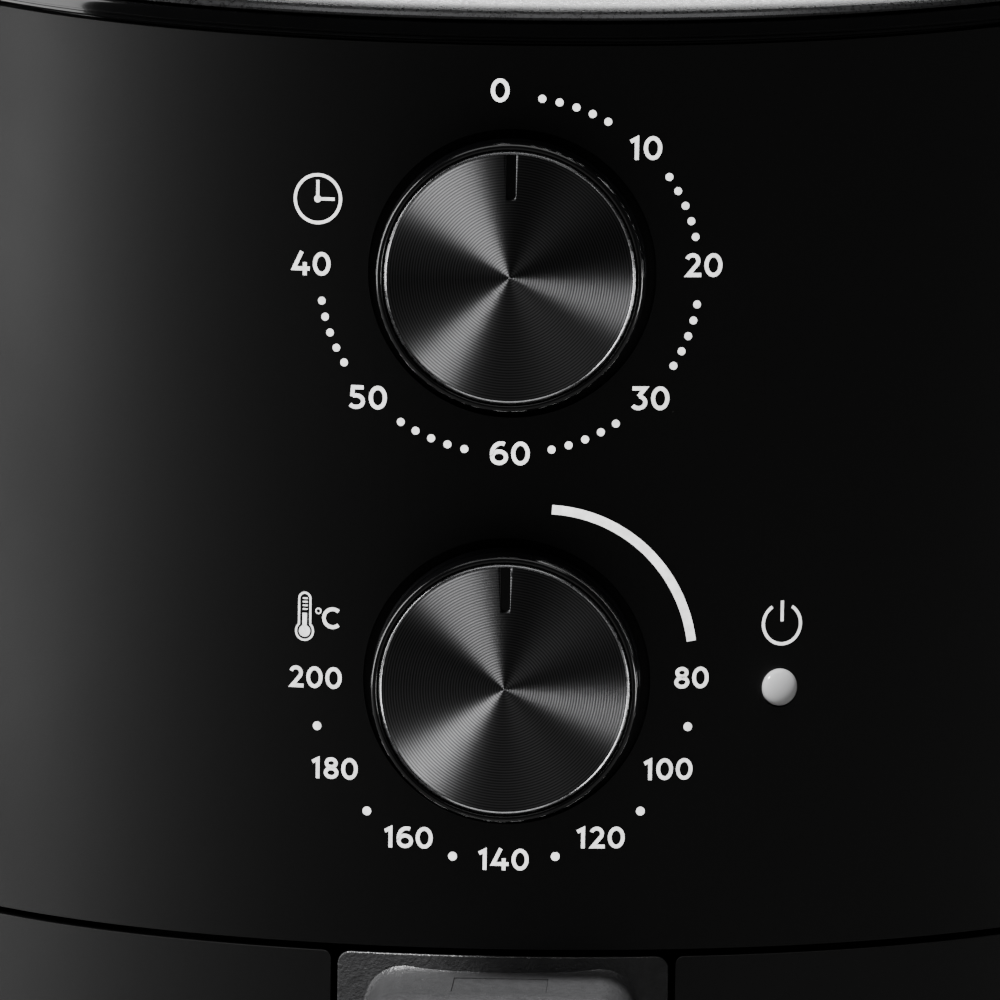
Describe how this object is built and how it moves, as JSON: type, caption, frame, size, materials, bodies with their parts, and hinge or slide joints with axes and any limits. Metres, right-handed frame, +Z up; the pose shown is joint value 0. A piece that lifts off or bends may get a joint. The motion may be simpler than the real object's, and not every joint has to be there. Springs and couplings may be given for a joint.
{
  "type": "air fryer",
  "caption": "Round black air fryer with two front dials, a status lamp, and a slide-out drawer holding a basket with a hooked handle.",
  "frame": {"origin": "on the resting surface, under the middle of the overall box", "axes": "+Z up; the front with the dials and the handle faces -Y; +X is to the right seen from the front"},
  "size_m": [0.272, 0.328, 0.3307],
  "materials": {
    "matte_black": "fine matte black moulding",
    "gloss_black": "polished black",
    "satin_grey": "satin graphite with a fine grain",
    "spun_dark_metal": "dark anodised, concentric spun grooves",
    "rubber": "soft matte",
    "steel": "zinc plated",
    "dark_steel": "dark oxidised",
    "coated_black": "non-stick coating",
    "aluminium": "bright sheet",
    "copper": "bare copper",
    "brass": "turned",
    "milky_lens": "milky translucent dome",
    "lamp_glass": "small neon lamp",
    "white_plastic": "plain",
    "cream_plastic": "heat-resistant"
  },
  "bodies": {
    "housing": {"outer_shell": "matte_black", "base_pan": "matte_black", "exhaust_grille": "matte_black", "lid_band": "gloss_black", "lid_panel": "gloss_black", "lid_trim_ring": "satin_grey", "foot_front_left": "rubber", "foot_front_right": "rubber", "foot_rear_left": "rubber", "foot_rear_right": "rubber", "cord_gland": "rubber", "base_screw_left": "steel", "base_screw_rear": "steel", "base_screw_right": "steel", "timer_bell": "steel", "motor_bracket": "steel", "upper_bearing_bridge": "steel", "element_bracket_1": "steel", "element_bracket_2": "steel", "exhaust_duct": "dark_steel", "heating_element": "dark_steel", "motor_stator": "dark_steel", "chamber_liner": "aluminium", "heating_hood": "aluminium", "motor_coil": "copper", "thermostat_capillary": "copper", "indicator_lens": "milky_lens", "indicator_lamp": "lamp_glass", "timer_case": "white_plastic", "glide_strip_left": "white_plastic", "glide_strip_right": "white_plastic", "thermostat_body": "cream_plastic"},
    "drawer": {"drawer_front": "matte_black", "drawer_inner_cover": "matte_black", "cover_screw_left": "steel", "cover_screw_right": "steel", "pan_bracket": "steel", "drawer_pan": "coated_black", "strike_plate": "steel", "basket": "coated_black", "basket_bracket": "steel", "basket_handle": "satin_grey", "handle_screw_left": "steel", "handle_screw_right": "steel", "latch_pin": "steel", "latch_spring": "steel"},
    "button": {"release_button": "satin_grey"},
    "latch": {"release_latch": "steel"},
    "timer_dial": {"timer_knob": "gloss_black", "timer_knob_face": "spun_dark_metal", "timer_shaft": "steel"},
    "temperature_dial": {"temperature_knob": "gloss_black", "temperature_knob_face": "spun_dark_metal", "temperature_shaft": "steel"},
    "fan_rotor": {"hot_air_fan": "aluminium", "fan_nut": "brass", "cooling_fan": "cream_plastic", "motor_rotor": "steel", "motor_shaft": "steel"}
  },
  "joints": [
    {"name": "drawer_slide", "type": "slide", "parent": "housing", "child": "drawer", "axis": [0, -1, 0], "range_m": [0, 0.2]},
    {"name": "timer_turn", "type": "hinge", "parent": "housing", "child": "timer_dial", "pos_m": [0, -0.118, 0.2525], "axis": [0, 1, 0], "range_deg": [0, 270]},
    {"name": "temperature_turn", "type": "hinge", "parent": "housing", "child": "temperature_dial", "pos_m": [0, -0.118, 0.174], "axis": [0, 1, 0], "range_deg": [0, 270]},
    {"name": "fan_spin", "type": "hinge", "parent": "housing", "child": "fan_rotor", "pos_m": [0, 0.022, 0.19], "axis": [0, 0, 1], "continuous": true},
    {"name": "button_press", "type": "slide", "parent": "drawer", "child": "button", "axis": [0, 0, -1], "range_m": [0, 0.003], "stiffness_N_per_m": 600, "springref_m": -0.001, "deforming": ["latch_spring"]},
    {"name": "latch_swing", "type": "hinge", "parent": "drawer", "child": "latch", "pos_m": [0, -0.107, 0.1095], "axis": [1, 0, 0], "range_deg": [0, 8.2]}
  ],
  "couplings": [
    {"joint": "latch_swing", "follows": "button_press", "rad_per_m": 46.542}
  ]
}
